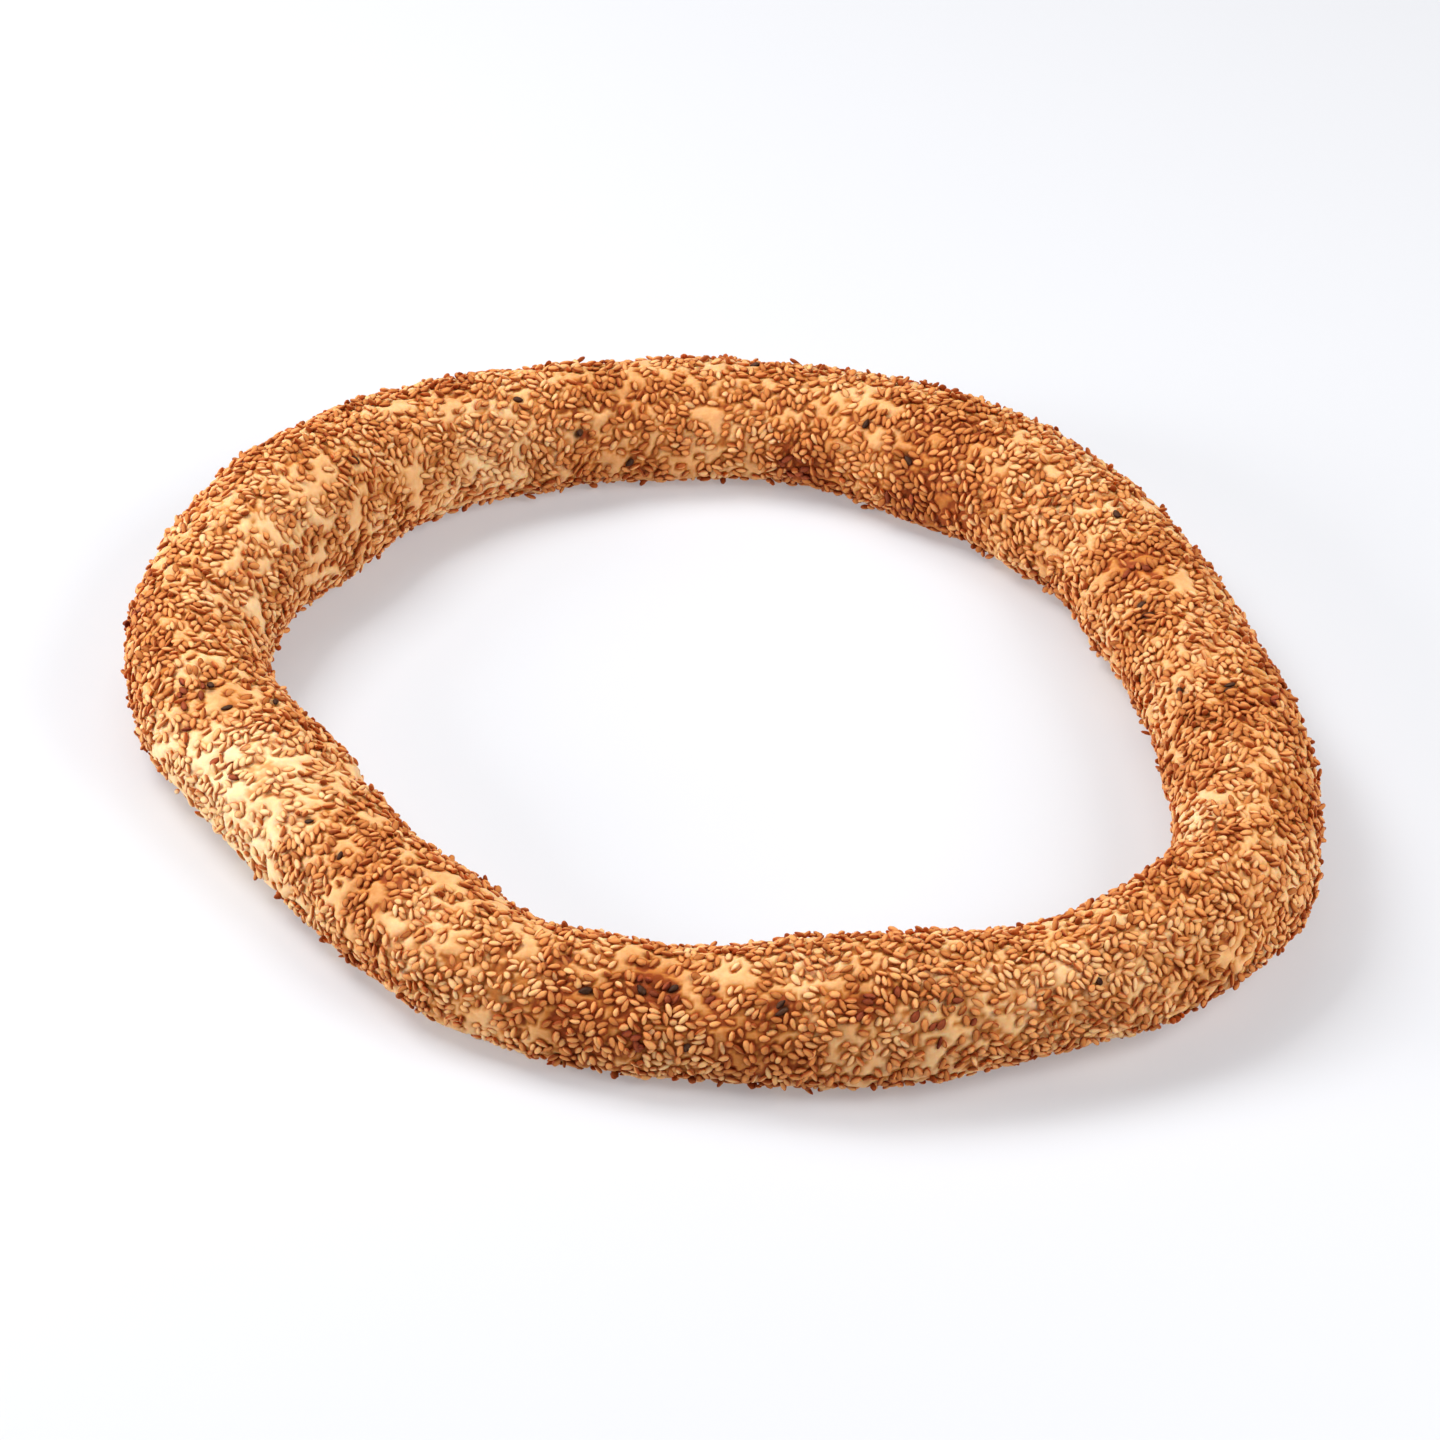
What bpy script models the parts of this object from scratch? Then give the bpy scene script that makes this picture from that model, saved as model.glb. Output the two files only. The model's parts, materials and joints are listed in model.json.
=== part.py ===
"""A plain sesame bread ring: one hand-rolled strand of dough, closed into a ring and baked.

The solid is the whole bread out to the backs of its sesame seeds. It is one piece. The strand is
uneven in thickness, and the ring has warped a little in baking, so that it rests on two flat
stretches of its base, at the back right and the front left, and stands clear between them.

Metres, +Z up. The ring lies on the plane z = 0, centred over the origin, and +Y is its back.
"""

import math

import bpy

MM = 0.001

# The strand's section, as shares of its width: a domed top over a base that settled flat.
DOME_RISE = 0.445
BASE_DROP = 0.405
BASE_SQUARENESS = 0.62
SECTION_POINTS = 32

# How far the strand sinks below the plane it rests on before the base is cut flat there.
SETTLE = 1.1 * MM

# The ring at equal steps, anticlockwise from its right-hand side, in millimetres:
# reach of the strand's middle from the ring's middle, strand width, clear height under the strand.
STATIONS = (
    (106.5, 31, 3),
    (103, 31.5, 1),
    (106, 31, 0),
    (109.5, 32, 0),
    (112.5, 31, 0),
    (116, 29.5, 0),
    (117, 31.5, 0.5),
    (119.5, 33, 1.5),
    (117.5, 36.5, 2.5),
    (118, 34.5, 2.5),
    (111.5, 30.5, 2),
    (99, 32, 0.5),
    (95.5, 29.5, 0),
    (98, 30.5, 0),
    (102.5, 28.5, 0),
    (105, 29.5, 0),
    (112, 33, 1.5),
    (123, 30, 4),
    (128.5, 31, 5),
    (117, 31.5, 4.5),
)
RINGS_PER_STATION = 7

# Shallow lumps that hand rolling leaves along the strand.
LUMP_SPACING = 24 * MM
LUMP_RELIEF = 1.6 * MM

CRUST_COLOUR = (0.62, 0.32, 0.11, 1.0)
CRUST_ROUGHNESS = 0.62

CUTTER_SIDE = 400 * MM
CUTTER_DEPTH = 20 * MM


def clear_scene():
    for obj in list(bpy.data.objects):
        bpy.data.objects.remove(obj, do_unlink=True)


def new_collection(name):
    collection = bpy.data.collections.new(name)
    bpy.context.scene.collection.children.link(collection)
    return collection


def crust_material():
    material = bpy.data.materials.new("crust")
    material.use_nodes = True
    shader = material.node_tree.nodes["Principled BSDF"]
    shader.inputs["Base Color"].default_value = CRUST_COLOUR
    shader.inputs["Roughness"].default_value = CRUST_ROUGHNESS
    shader.inputs["Metallic"].default_value = 0.0
    return material


def strand_section(cutters):
    """The strand's outline, one unit wide, as a closed flat curve."""
    curve = bpy.data.curves.new("strand_section", "CURVE")
    outline = curve.splines.new("POLY")
    outline.points.add(SECTION_POINTS - 1)
    for index, point in enumerate(outline.points):
        angle = math.tau * index / SECTION_POINTS
        across = 0.5 * math.cos(angle)
        rise = math.sin(angle)
        if rise >= 0:
            height = DOME_RISE * rise
        else:
            height = -BASE_DROP * (-rise) ** BASE_SQUARENESS
        point.co = (across, height, 0.0, 1.0)
    outline.use_cyclic_u = True
    section = bpy.data.objects.new("strand_section", curve)
    section.hide_render = True
    cutters.objects.link(section)
    return section


def station_place(index):
    """Where the strand's middle is at this station, and how wide the strand is there."""
    reach, width, clear = (value * MM for value in STATIONS[index])
    clock = math.tau * index / len(STATIONS)
    height = clear - SETTLE + BASE_DROP * width
    return (reach * math.cos(clock), reach * math.sin(clock), height), width


def ring_path(section, cutters):
    """The closed line through the middle of the strand, which carries the section round."""
    curve = bpy.data.curves.new("strand_path", "CURVE")
    curve.dimensions = "3D"
    curve.twist_mode = "Z_UP"
    curve.resolution_u = RINGS_PER_STATION
    curve.bevel_mode = "OBJECT"
    curve.bevel_object = section
    path = curve.splines.new("BEZIER")
    path.bezier_points.add(len(STATIONS) - 1)
    path.radius_interpolation = "CARDINAL"
    for index, point in enumerate(path.bezier_points):
        point.co, point.radius = station_place(index)
        point.handle_left_type = "AUTO"
        point.handle_right_type = "AUTO"
    path.use_cyclic_u = True
    holder = bpy.data.objects.new("strand_path", curve)
    holder.hide_render = True
    cutters.objects.link(holder)
    return holder


def floor_cutter(cutters):
    """A slab whose top is the plane that the bread rests on."""
    bpy.ops.mesh.primitive_cube_add(size=1.0, location=(0.0, 0.0, -CUTTER_DEPTH / 2))
    slab = bpy.context.object
    slab.name = "floor_cutter"
    slab.scale = (CUTTER_SIDE, CUTTER_SIDE, CUTTER_DEPTH)
    bpy.ops.object.transform_apply(location=False, rotation=False, scale=True)
    slab.hide_render = True
    slab.display_type = "WIRE"
    for collection in list(slab.users_collection):
        collection.objects.unlink(slab)
    cutters.objects.link(slab)
    return slab


def centre_over_origin(mesh):
    """Moves the mesh sideways until its box is centred over the origin."""
    for axis in (0, 1):
        places = [vertex.co[axis] for vertex in mesh.vertices]
        middle = (min(places) + max(places)) / 2
        for vertex in mesh.vertices:
            vertex.co[axis] -= middle


def bread_ring(parts, cutters):
    path = ring_path(strand_section(cutters), cutters)
    bpy.context.view_layer.update()
    graph = bpy.context.evaluated_depsgraph_get()
    mesh = bpy.data.meshes.new_from_object(path.evaluated_get(graph))
    mesh.name = "bread_ring"
    centre_over_origin(mesh)
    mesh.materials.clear()
    mesh.materials.append(crust_material())
    ring = bpy.data.objects.new("bread_ring", mesh)
    parts.objects.link(ring)

    clouds = bpy.data.textures.new("rolling_lumps", "CLOUDS")
    clouds.noise_scale = LUMP_SPACING
    clouds.noise_depth = 0
    lumps = ring.modifiers.new("lumps", "DISPLACE")
    lumps.texture = clouds
    lumps.texture_coords = "LOCAL"
    lumps.mid_level = 0.5
    lumps.strength = LUMP_RELIEF

    base = ring.modifiers.new("flat_base", "BOOLEAN")
    base.operation = "DIFFERENCE"
    base.solver = "EXACT"
    base.object = floor_cutter(cutters)
    return ring


def main():
    clear_scene()
    parts = new_collection("sesame_ring")
    cutters = new_collection("cutters")
    bread_ring(parts, cutters)


main()
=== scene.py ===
"""Sesame bread ring: a baked crust, its coat of sesame and a plain studio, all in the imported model's frame."""

import json
import math

import bpy
import numpy as np
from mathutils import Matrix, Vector
from mathutils.bvhtree import BVHTree
from mathutils.kdtree import KDTree

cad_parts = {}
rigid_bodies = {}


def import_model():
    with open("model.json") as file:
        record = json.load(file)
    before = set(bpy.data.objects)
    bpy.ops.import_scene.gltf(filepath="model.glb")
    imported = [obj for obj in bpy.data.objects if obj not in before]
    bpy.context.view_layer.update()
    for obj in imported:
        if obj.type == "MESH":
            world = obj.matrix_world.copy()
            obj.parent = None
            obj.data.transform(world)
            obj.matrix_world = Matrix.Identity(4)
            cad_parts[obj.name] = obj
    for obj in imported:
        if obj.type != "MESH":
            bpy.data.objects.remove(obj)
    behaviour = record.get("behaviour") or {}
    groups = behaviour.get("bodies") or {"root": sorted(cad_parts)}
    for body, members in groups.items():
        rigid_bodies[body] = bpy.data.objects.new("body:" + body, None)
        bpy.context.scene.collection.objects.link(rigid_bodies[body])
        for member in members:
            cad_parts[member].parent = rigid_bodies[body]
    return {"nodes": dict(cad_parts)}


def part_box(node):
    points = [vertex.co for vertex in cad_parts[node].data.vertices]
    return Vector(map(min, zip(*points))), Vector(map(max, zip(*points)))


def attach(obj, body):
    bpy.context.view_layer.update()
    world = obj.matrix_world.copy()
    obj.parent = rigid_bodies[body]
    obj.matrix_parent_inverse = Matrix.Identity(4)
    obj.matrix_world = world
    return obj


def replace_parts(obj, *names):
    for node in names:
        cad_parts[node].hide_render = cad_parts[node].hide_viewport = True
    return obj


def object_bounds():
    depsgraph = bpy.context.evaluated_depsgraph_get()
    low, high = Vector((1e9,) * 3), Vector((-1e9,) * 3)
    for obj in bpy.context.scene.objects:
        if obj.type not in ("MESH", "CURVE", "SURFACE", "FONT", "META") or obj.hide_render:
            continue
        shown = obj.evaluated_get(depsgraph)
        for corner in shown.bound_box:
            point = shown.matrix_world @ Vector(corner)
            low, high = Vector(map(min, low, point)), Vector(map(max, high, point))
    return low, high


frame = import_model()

bl_info = {
    "name": "Sesame bread ring",
    "version": (1, 0, 0),
    "blender": (4, 5, 0),
    "location": "3D View > Sidebar > Bread",
    "description": "Bakes a hand-rolled bread ring and coats it in sesame",
    "category": "Add Mesh",
}

MM = 0.001
CAD_NODE = "bread_ring"
BODY = "root"
CAD_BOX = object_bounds()

# The skin is a grid that closes on itself both ways: columns along the strand, rows round it.
COLUMNS = 870
ROWS = 112
CORE_SPREAD = 9 * MM  # how far the strand's core is evened out
SKIN_SPREAD = 1.7 * MM  # how far the skin's flat facets are evened out
BAKE_MAP = "OFBake"
BAKE_STRIPS = 3  # the skin's map is cut in this many lengths, laid one above another
BAKE_MARGIN = 0.004

# A place on the ring is (clock, around) in degrees: clock runs anticlockwise from the right as seen from
# above, around runs over the strand from its outer side, 0, by its top, 90, to the side of the hole, 180.
# Each row is clock, around, reach in mm, strength.
SCORCHED = (
    (108, 161, 1.6, 1.0),
    (101, 191, 1.3, 0.9),
    (62, 157, 1.5, 0.9),
    (69, 133, 1.4, 0.8),
    (8, 133, 1.6, 1.0),
    (11, 128, 1.1, 0.8),
    (350, 93, 1.2, 0.8),
    (277, 40, 1.5, 1.0),
    (258, 42, 1.4, 0.9),
    (249, 15, 1.3, 0.9),
    (268, 8, 1.3, 0.8),
    (263, 50, 1.3, 0.8),
    (266, 56, 1.5, 0.9),
    (140, 130, 1.3, 0.7),
    (114, 119, 1.1, 0.7),
    (192, 122, 1.2, 0.8),
    (189, 73, 1.5, 0.9),
    (193, 70, 1.0, 0.7),
    (351, 138, 1.2, 0.8),
    (30, 95, 1.0, 0.7),
    (85, 60, 1.1, 0.7),
    (215, 60, 1.1, 0.7),
    (222, 52, 1.2, 0.8),
    (305, 30, 1.0, 0.7),
)
# Stretches that browned more than their surroundings, and painted shade: the rows low on the inner side at the back and
# on the back flank darken crust that lies in shade.
BROWNED_AND_SHADED = (
    (264, 56, 4, 0.34),
    (258, 22, 8, 0.22),
    (226, 58, 8, 0.26),
    (232, 84, 7, 0.16),
    (100, 150, 8, 0.12),
    (125, 95, 12, 0.16),
    (60, 140, 12, 0.18),
    (18, 120, 9, 0.24),
    (8, 135, 8, 0.18),
    (190, 78, 7, 0.26),
    (172, 20, 12, 0.22),
    (178, 60, 9, 0.08),
    (300, 30, 12, 0.08),
    (283, 60, 7, 0.14),
    (277, 40, 3, 0.3),
    (296, 9, 5, 0.2),
    (58, 200, 12, 0.35),
    (74, 202, 10, 0.25),
    (335, 35, 12, 0.16),
    (345, 100, 8, 0.16),
    (355, 20, 14, 0.2),
    (272, 20, 10, 0.16),
    (98, 166, 24, 0.15),
    (134, 135, 22, 0.09),
)
# Spots where the crust and the seeds on it turned dark red-brown.
SINGED = (
    (264, 57, 3.2, 1.1),
    (266, 54, 2.4, 0.9),
    (263, 61, 2.2, 0.8),
    (277, 43, 2.4, 0.9),
    (263, 360, 2.0, 0.8),
    (189, 47, 3.4, 0.6),
    (199, 31, 2.4, 0.4),
    (203, 38, 2.0, 0.3),
    (284, 37, 2.8, 0.7),
    (288, 51, 2.4, 0.6),
    (291, 16, 4.5, 0.6),
    (270, 50, 2.0, 0.7),
    (254, 30, 2.4, 0.5),
    (60, 205, 4.0, 0.5),
    (78, 200, 3.0, 0.5),
    (18, 120, 3.0, 0.4),
    (120, 95, 3.0, 0.4),
    (350, 60, 3.0, 0.4),
    (172, 20, 3.0, 0.5),
)
# Stretches where the seeds browned more than the crust beneath them.
TOASTED = (
    (194, 60, 30, 0.06),
    (226, 44, 20, 0.2),
    (291, 16, 8, 0.25),
)
# Stretches where the seeds are paler than the crust would have them: pale seeds in the joint, and painted light low on
# the outer left, where the low lamp falls.
UNTOASTED_AND_LIT = (
    (205, 8, 18, 0.24),
    (196, 345, 14, 0.24),
    (358, 150, 16, 0.06),
)
# Painted shade: low on the flanks that face away from the lamps, at the front and on the inner side at the back, the
# crust is painted darker while the seeds on it keep their colour.
PAINTED_FLANK_SHADE = (
    (257, 14, 17, 0.24),
    (272, 12, 15, 0.24),
    (243, 20, 13, 0.2),
    (231, 26, 17, 0.26),
    (284, 42, 8, 0.18),
    (266, 40, 9, 0.16),
    (300, 34, 10, 0.05),
    (55, 190, 16, 0.25),
    (75, 195, 14, 0.18),
    (178, 20, 10, 0.12),
)
# Places where little or no sesame stuck and smooth crust shows.
BARE = (
    (261, 96, 4.2, 1.0),
    (267, 62, 3.7, 1.0),
    (271, 70, 2.6, 0.9),
    (253, 92, 2.6, 0.8),
    (12, 73, 3.3, 0.95),
    (17, 82, 2.4, 0.8),
    (328, 139, 2.3, 1.0),
    (183, 99, 2.7, 0.95),
    (238, 55, 2.2, 0.8),
    (298, 76, 2.2, 0.85),
    (289, 18, 2.0, 0.4),
    (190, 63, 2.0, 0.9),
    (205, 34, 2.4, 0.9),
    (212, 28, 2.6, 0.9),
    (198, 30, 2.2, 0.8),
    (320, 46, 2.0, 0.8),
    (309, 72, 1.9, 0.8),
    (122, 167, 2.3, 0.8),
    (150, 154, 2.2, 0.8),
    (201, 52, 1.9, 0.8),
    (235, 100, 2.6, 0.9),
    (170, 96, 1.9, 0.8),
    (82, 112, 1.9, 0.8),
    (105, 104, 2.2, 0.8),
    (40, 100, 2.2, 0.7),
)
# Pale, underbaked dough in the joint and on bare patches; low on the outer left, where the low lamp falls, the paler
# crust is painted light.
PALE_AND_LIT = (
    (200, 4, 14, 0.6),
    (211, 2, 13, 0.6),
    (222, 0, 11, 0.4),
    (203, 20, 28, 0.16),
    (205, 8, 20, 0.36),
    (194, 345, 12, 0.3),
    (358, 150, 18, 0.12),
    (5, 190, 16, 0.12),
    (190, 60, 22, 0.06),
    (290, 22, 9, 0.05),
    (191, 8, 11, 0.36),
    (328, 139, 7, 0.45),
    (122, 172, 12, 0.25),
    (236, 4, 14, 0.2),
    (268, 61, 5, 0.06),
    (258, 93, 5, 0.1),
    (298, 14, 11, 0.08),
)
# The ridge along the top of the front, and the crease where the strand's ends were joined.
RIDGE = ((246, 72), (256, 84), (266, 96), (276, 106), (286, 104), (296, 94), (307, 80))
CREASE = ((327, 168), (326, 150), (325, 130), (326, 108), (327, 88))
# Where the strand was pressed in or swells out: clock, around, reach in mm, how far in mm.
DENTS = (
    (299, 335, 14, -1.9),
    (159, 47, 16, -1.6),
    (240, 325, 14, 1.4),
    (253, 325, 13, 1.4),
    (245, 146, 9, -1.7),
    (102, 55, 14, -1.1),
    (8, 45, 14, -1.3),
    (298, 129, 11, -1.5),
    (62, 205, 13, 2.0),
    (45, 205, 10, 1.0),
    (97, 212, 12, 1.2),
    (343, 190, 9, 1.3),
    (203, 155, 5, 0.8),
    (213, 153, 4, 1.2),
    (280, 138, 4.5, 1.3),
    (262, 115, 5, 0.7),
    (176, 50, 9, 0.9),
)
# Where seeds fell out and left their beds empty.
FALLEN = (
    (289, 14, 6, 0.3),
    (293, 6, 5, 0.4),
    (297, 12, 6, 0.3),
    (250, 20, 6, 0.4),
    (205, 45, 9, 0.4),
    (105, 150, 10, 0.4),
    (88, 140, 10, 0.3),
)

SHAPE_RINGS = (
    # along, half width, half thickness, sideways
    (0.10, 0.40, 0.48, 0.04),
    (0.34, 0.84, 0.90, 0.02),
    (0.64, 1.00, 1.00, 0.0),
    (0.90, 0.62, 0.66, -0.01),
)
SHAPE_SIDES = 8
# Name, share of width, share of thickness, bend: three seeds that differ as seeds of one crop do.
SHAPE_KINDS = (
    ("plump", 1.04, 1.04, 0.02),
    ("slim", 0.86, 0.92, 0.07),
    ("flat", 1.0, 0.82, -0.06),
)
# Piece name, share of all the seeds, from the least toasted.
TOASTS = (
    ("sesame_cream", 0.035),
    ("sesame_pale", 0.22),
    ("sesame_gold", 0.25),
    ("sesame_amber", 0.25),
    ("sesame_brown", 0.245),
)
SINGED_NAME = "sesame_singed"
BURNT_NAME = "sesame_scorched"


class Value:
    """One number socket. Python's arithmetic on it adds Math nodes to its tree."""

    def __init__(self, net, socket):
        self.net = net
        self.socket = socket

    def __add__(self, other):
        return self.net.maths("ADD", self, other)

    def __radd__(self, other):
        return self.net.maths("ADD", other, self)

    def __sub__(self, other):
        return self.net.maths("SUBTRACT", self, other)

    def __rsub__(self, other):
        return self.net.maths("SUBTRACT", other, self)

    def __mul__(self, other):
        return self.net.maths("MULTIPLY", self, other)

    def __rmul__(self, other):
        return self.net.maths("MULTIPLY", other, self)

    def __truediv__(self, other):
        return self.net.maths("DIVIDE", self, other)

    def __rtruediv__(self, other):
        return self.net.maths("DIVIDE", other, self)


class Net:
    """Adds nodes to one shader or geometry tree."""

    def __init__(self, tree):
        self.tree = tree

    def feed(self, socket, value):
        if isinstance(value, Value):
            value = value.socket
        if isinstance(value, bpy.types.NodeSocket):
            self.tree.links.new(value, socket)
        else:
            socket.default_value = value

    def node(self, kind, settings=None, inputs=None):
        made = self.tree.nodes.new(kind)
        for name, value in (settings or {}).items():
            if name == "stops":
                set_stops(made.color_ramp, value)
            else:
                setattr(made, name, value)
        for name, value in (inputs or {}).items():
            self.feed(made.inputs[name], value)
        return made

    def value(self, kind, settings=None, inputs=None, output=0):
        return Value(self, self.node(kind, settings, inputs).outputs[output])

    def maths(self, operation, *values):
        return self.value("ShaderNodeMath", {"operation": operation}, dict(enumerate(values)))

    def vectors(self, operation, *values):
        return self.node("ShaderNodeVectorMath", {"operation": operation}, dict(enumerate(values))).outputs[0]

    def scaled(self, vector, amount):
        inputs = {0: vector, "Scale": amount}
        return self.node("ShaderNodeVectorMath", {"operation": "SCALE"}, inputs).outputs[0]

    def step(self, value, low, high):
        """0 below low, 1 above high, eased between."""
        settings = {"interpolation_type": "SMOOTHSTEP"}
        inputs = {"Value": value, "From Min": low, "From Max": high}
        return self.value("ShaderNodeMapRange", settings, inputs)

    def mix(self, share, first, second, blend="MIX"):
        settings = {"data_type": "RGBA", "blend_type": blend, "clamp_factor": True}
        return self.node("ShaderNodeMix", settings, {0: share, 6: first, 7: second}).outputs[2]

    def noise(self, place, grain, detail=2.0, roughness=0.5, distortion=0.0):
        """A smooth pattern from 0 to 1 whose lumps are about one grain across."""
        inputs = {
            "Vector": place,
            "Scale": 1 / grain if isinstance(grain, float) else 1 / grain,
            "Detail": detail,
            "Roughness": roughness,
            "Distortion": distortion,
        }
        return self.value("ShaderNodeTexNoise", None, inputs)


def set_stops(ramp, stops):
    while len(ramp.elements) > 1:
        ramp.elements.remove(ramp.elements[-1])
    ramp.elements[0].position = stops[0][0]
    ramp.elements[0].color = stops[0][1]
    for place, colour in stops[1:]:
        ramp.elements.new(place).color = colour


def rgba(colour):
    return (colour[0], colour[1], colour[2], 1.0)


# ---------------------------------------------------------------- the skin as a grid


def soften(field, spread, pitch):
    """Evens a field out over the closed grid; spread and pitch are in metres."""
    along = np.fft.fftfreq(field.shape[0])[:, None] / pitch[0]
    around = np.fft.fftfreq(field.shape[1])[None, :] / pitch[1]
    damp = np.exp(-2 * (math.pi * spread) ** 2 * (along**2 + around**2))
    return np.fft.ifft2(np.fft.fft2(field) * damp).real


def grid_pitch(skin):
    along = np.linalg.norm(np.roll(skin, -1, axis=0) - skin, axis=2).mean()
    around = np.linalg.norm(np.roll(skin, -1, axis=1) - skin, axis=2).mean()
    return along, around


def mottle(rng, skin, grain):
    """Random field over the skin with patches about one grain across; its mean is 0 and its spread 1."""
    field = soften(rng.standard_normal(skin.shape[:2]), grain / 3.2, grid_pitch(skin))
    return (field - field.mean()) / field.std()


def skin_frames(skin):
    """Unit vectors along the strand, round it and outwards, and each cell's area."""
    along = np.roll(skin, -1, axis=0) - np.roll(skin, 1, axis=0)
    around = np.roll(skin, -1, axis=1) - np.roll(skin, 1, axis=1)
    outward = np.cross(along, around)
    area = np.linalg.norm(outward, axis=2) / 4
    outward /= np.linalg.norm(outward, axis=2, keepdims=True)
    return along / 2, around / 2, outward, area


def sample(field, at):
    """The field's value at fractional grid places, from the four points about each."""
    low = np.floor(at).astype(int)
    part = at - low
    rows = field.shape[1]
    columns = field.shape[0]
    total = 0
    for across in (0, 1):
        for up in (0, 1):
            weight = np.abs(1 - across - part[:, 0]) * np.abs(1 - up - part[:, 1])
            picked = field[(low[:, 0] + across) % columns, (low[:, 1] + up) % rows]
            total = total + (weight[:, None] if picked.ndim == 2 else weight) * picked
    return total


def grid_place(clock, around):
    return np.array([[clock / 360 * COLUMNS, around / 360 * ROWS]])


def patches(skin, rows):
    """Soft round patches over the skin, from rows of clock, around, reach in mm and strength."""
    field = np.zeros(skin.shape[:2])
    for clock, around, reach, strength in rows:
        middle = sample(skin, grid_place(clock, around))[0]
        far = np.linalg.norm(skin - middle, axis=2) / (reach * MM)
        field = np.maximum(field, strength * np.exp(-(far**2)))
    return field


def beside_line(skin, line, reach):
    """1 on a line over the skin and falling away beside it; line is a run of (clock, around)."""
    knots = np.array(line, float)
    steps = np.linspace(0, len(line) - 1, 12 * len(line))
    clocks = np.interp(steps, range(len(line)), knots[:, 0])
    arounds = np.interp(steps, range(len(line)), knots[:, 1])
    field = np.zeros(skin.shape[:2])
    for n, (clock, around) in enumerate(zip(clocks, arounds)):
        middle = sample(skin, grid_place(clock, around))[0]
        fade = min(1.0, 4 * n / len(clocks), 4 * (len(clocks) - 1 - n) / len(clocks))
        far = np.linalg.norm(skin - middle, axis=2) / reach
        field = np.maximum(field, fade * np.exp(-(far**2)))
    return field


def trace_skin(inset):
    """Reads the CAD solid's surface onto the grid, seen from the strand's core, and sinks it by inset."""
    source = frame["nodes"][CAD_NODE].data
    source.calc_loop_triangles()
    corners = [v.co.copy() for v in source.vertices]
    tree = BVHTree.FromPolygons(corners, [t.vertices[:] for t in source.loop_triangles])
    low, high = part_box(CAD_NODE)
    clocks = np.arange(COLUMNS) * 2 * math.pi / COLUMNS
    reach = (high - low).length
    core = np.zeros((COLUMNS, 2))
    for n, clock in enumerate(clocks):
        out = Vector((math.cos(clock), math.sin(clock), 0))
        mid = Vector((0, 0, (low.z + high.z) * 0.45))
        inner = tree.ray_cast(mid, out)[0]
        outer = tree.ray_cast(mid + out * reach, -out)[0]
        radius = (inner.xy.length + outer.xy.length) / 2
        above = tree.ray_cast(out * radius + Vector((0, 0, reach)), Vector((0, 0, -1)))[0]
        below = tree.ray_cast(out * radius - Vector((0, 0, reach)), Vector((0, 0, 1)))[0]
        core[n] = radius, (above.z + below.z) / 2
    pitch = 2 * math.pi * core[:, 0].mean() / COLUMNS
    core = soften(core, CORE_SPREAD, (pitch, 1e9))
    arounds = np.arange(ROWS) * 2 * math.pi / ROWS
    lengths = np.zeros((COLUMNS, ROWS))
    for n, clock in enumerate(clocks):
        out = Vector((math.cos(clock), math.sin(clock), 0))
        middle = out * core[n, 0] + Vector((0, 0, core[n, 1]))
        for m, around in enumerate(arounds):
            ray = out * math.cos(around) + Vector((0, 0, math.sin(around)))
            lengths[n, m] = tree.ray_cast(middle, ray)[3]
    lengths = soften(lengths, SKIN_SPREAD, (pitch, 2 * math.pi * lengths.mean() / ROWS)) - inset
    radii = core[:, 0, None] + lengths * np.cos(arounds)
    heights = core[:, 1, None] + lengths * np.sin(arounds)
    return np.stack([radii * np.cos(clocks)[:, None], radii * np.sin(clocks)[:, None], heights], axis=2)


def grid_mesh(name, skin):
    """A closed mesh of quads from the grid, with its bake map."""
    column, row = np.meshgrid(np.arange(COLUMNS), np.arange(ROWS), indexing="ij")
    corner = [(0, 0), (1, 0), (1, 1), (0, 1)]
    quads = [((column + a) % COLUMNS) * ROWS + (row + b) % ROWS for a, b in corner]
    mesh = bpy.data.meshes.new(name)
    mesh.from_pydata(skin.reshape(-1, 3), [], np.stack(quads, axis=2).reshape(-1, 4))
    mesh.shade_smooth()
    per_strip = COLUMNS // BAKE_STRIPS
    across = [(column % per_strip + a) / per_strip for a, b in corner]
    up = [(row + b) / ROWS for a, b in corner]
    wide = 1 - 2 * BAKE_MARGIN
    tall = 1 / BAKE_STRIPS - 2 * BAKE_MARGIN
    u = BAKE_MARGIN + wide * np.stack(across, axis=2)
    v = (column // per_strip)[:, :, None] / BAKE_STRIPS + BAKE_MARGIN + tall * np.stack(up, axis=2)
    mesh.uv_layers.new(name=BAKE_MAP).uv.foreach_set("vector", np.stack([u, v], axis=3).ravel())
    mesh.update()
    return mesh


def add_field(mesh, name, field):
    mesh.attributes.new(name, "FLOAT", "POINT").data.foreach_set("value", field.ravel())


def mesh_places(mesh):
    found = np.empty(len(mesh.vertices) * 3)
    mesh.vertices.foreach_get("co", found)
    return found.reshape(-1, 3)


# ---------------------------------------------------------------- geometry trees


def new_tree(name, sockets):
    """A Geometry Nodes group with these named inputs: name, type, and default for plain numbers."""
    tree = bpy.data.node_groups.new(name, "GeometryNodeTree")
    tree.interface.new_socket(name="Geometry", in_out="INPUT", socket_type="NodeSocketGeometry")
    for label, kind, default in sockets:
        socket = tree.interface.new_socket(name=label, in_out="INPUT", socket_type="NodeSocket" + kind)
        if default is not None:
            socket.default_value = default
    tree.interface.new_socket(name="Geometry", in_out="OUTPUT", socket_type="NodeSocketGeometry")
    net = Net(tree)
    start = net.node("NodeGroupInput")
    given = {s.name: Value(net, s) for s in start.outputs if s.name}
    return net, given


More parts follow.
